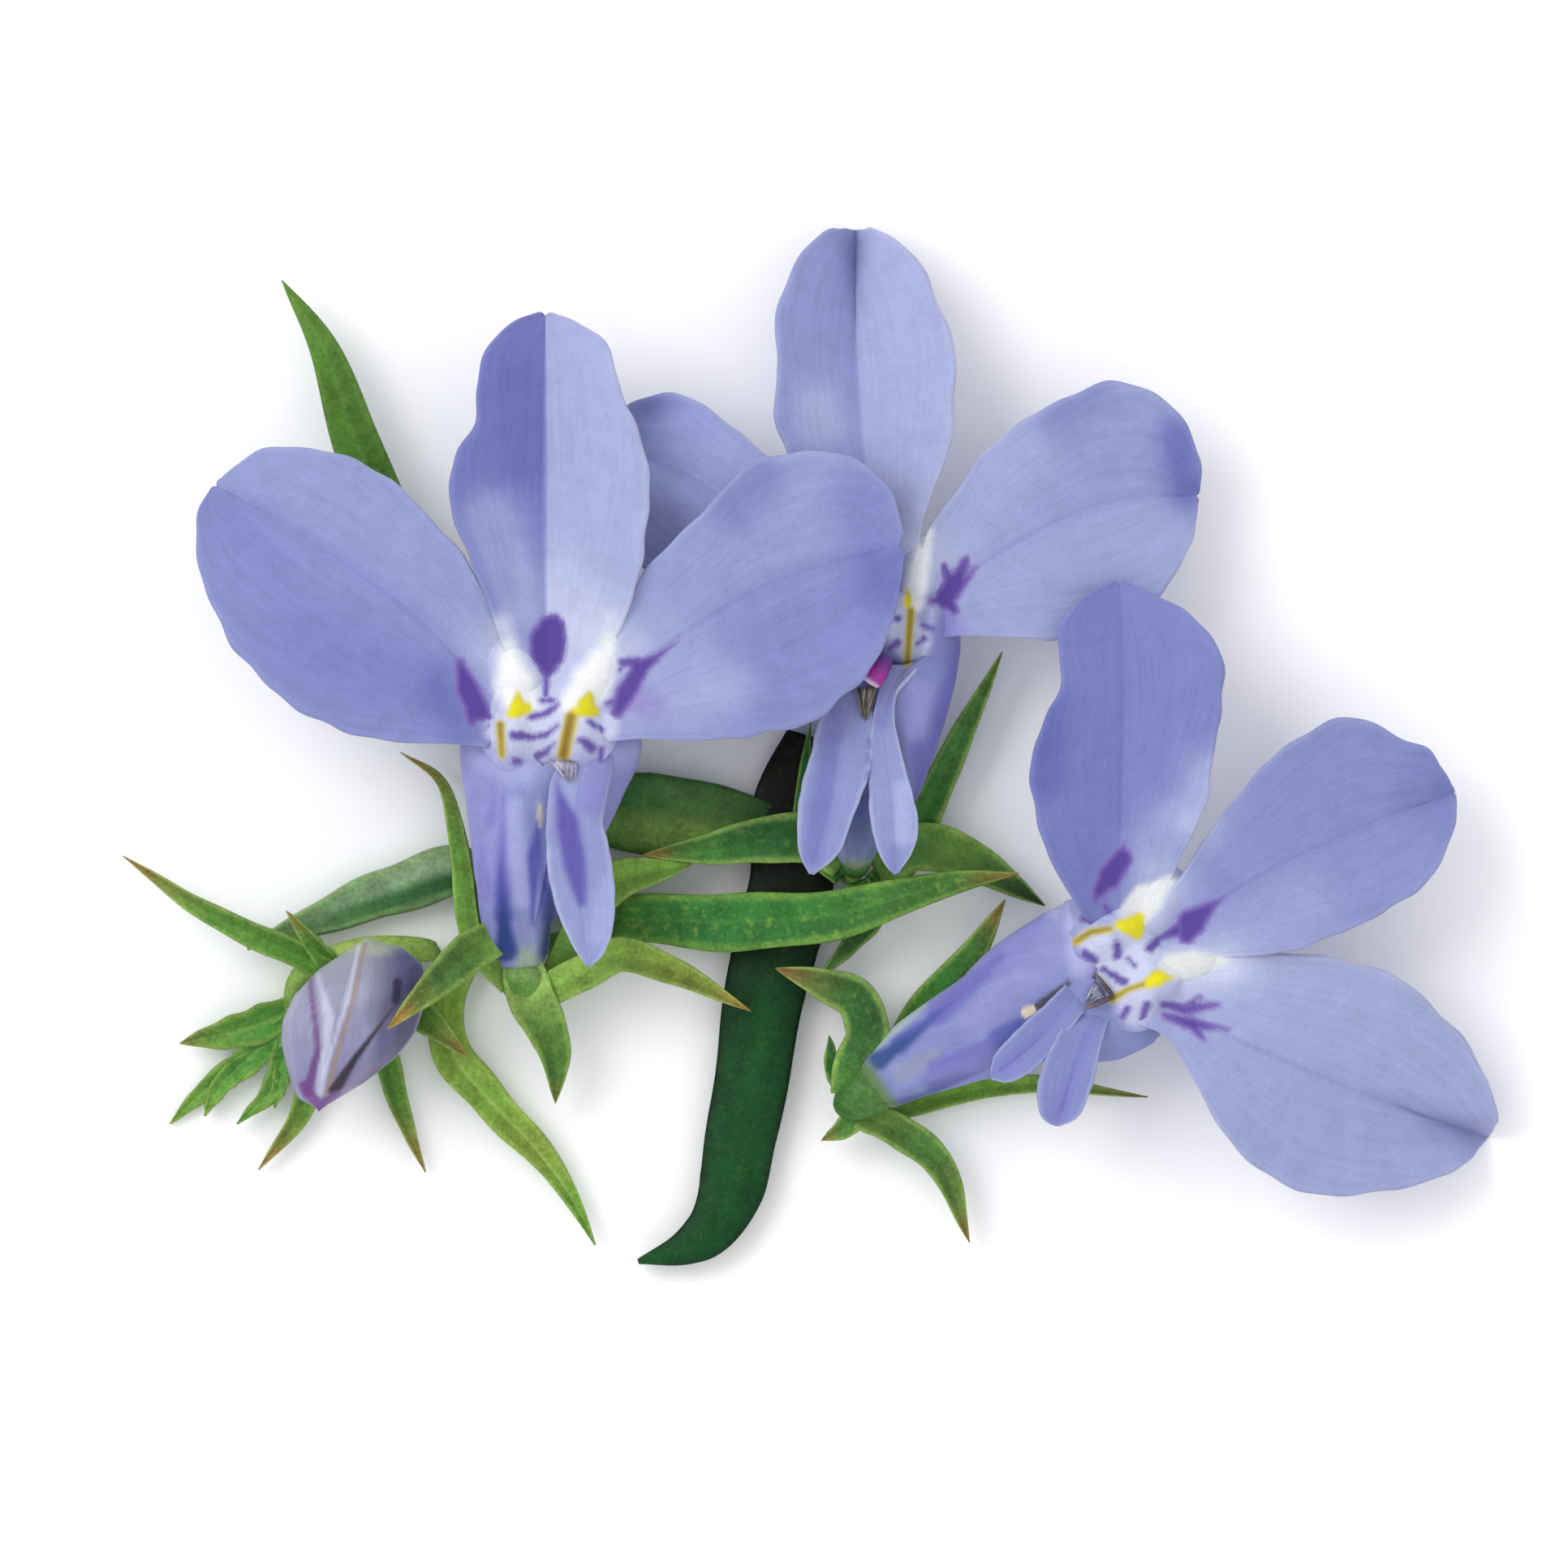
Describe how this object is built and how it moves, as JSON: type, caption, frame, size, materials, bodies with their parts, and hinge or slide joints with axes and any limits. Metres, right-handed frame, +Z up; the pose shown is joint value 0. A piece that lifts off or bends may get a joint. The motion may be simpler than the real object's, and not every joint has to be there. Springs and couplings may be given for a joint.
{
  "type": "trailing lobelia sprig",
  "caption": "Cut sprig of blue trailing lobelia lying on a surface: open two-lipped flowers looking up, a closed bud, narrow green leaves and a flat dark stem.",
  "frame": {"origin": "on the surface that the sprig lies on, under the middle of its outline", "axes": "+Z up from the surface, towards the side that the flowers look to; +X to the right along the longest extent; +Y away from the stem's lower end, towards the upper lip lobes"},
  "size_m": [0.051, 0.0384, 0.0072],
  "materials": {
    "petal": "matte",
    "bud_petal": "matte",
    "calyx": "satin",
    "stem_and_leaf": "satin",
    "anther": "matte"
  },
  "bodies": {
    "root": {"leafy_stem": "stem_and_leaf", "bud_shoot": "calyx", "bud_corolla": "bud_petal", "left_calyx": "calyx", "left_corolla": "petal", "back_calyx": "calyx", "back_corolla": "petal", "right_calyx": "calyx", "right_corolla": "petal", "left_anthers": "anther", "back_anthers": "anther", "right_anthers": "anther"}
  },
  "joints": []
}
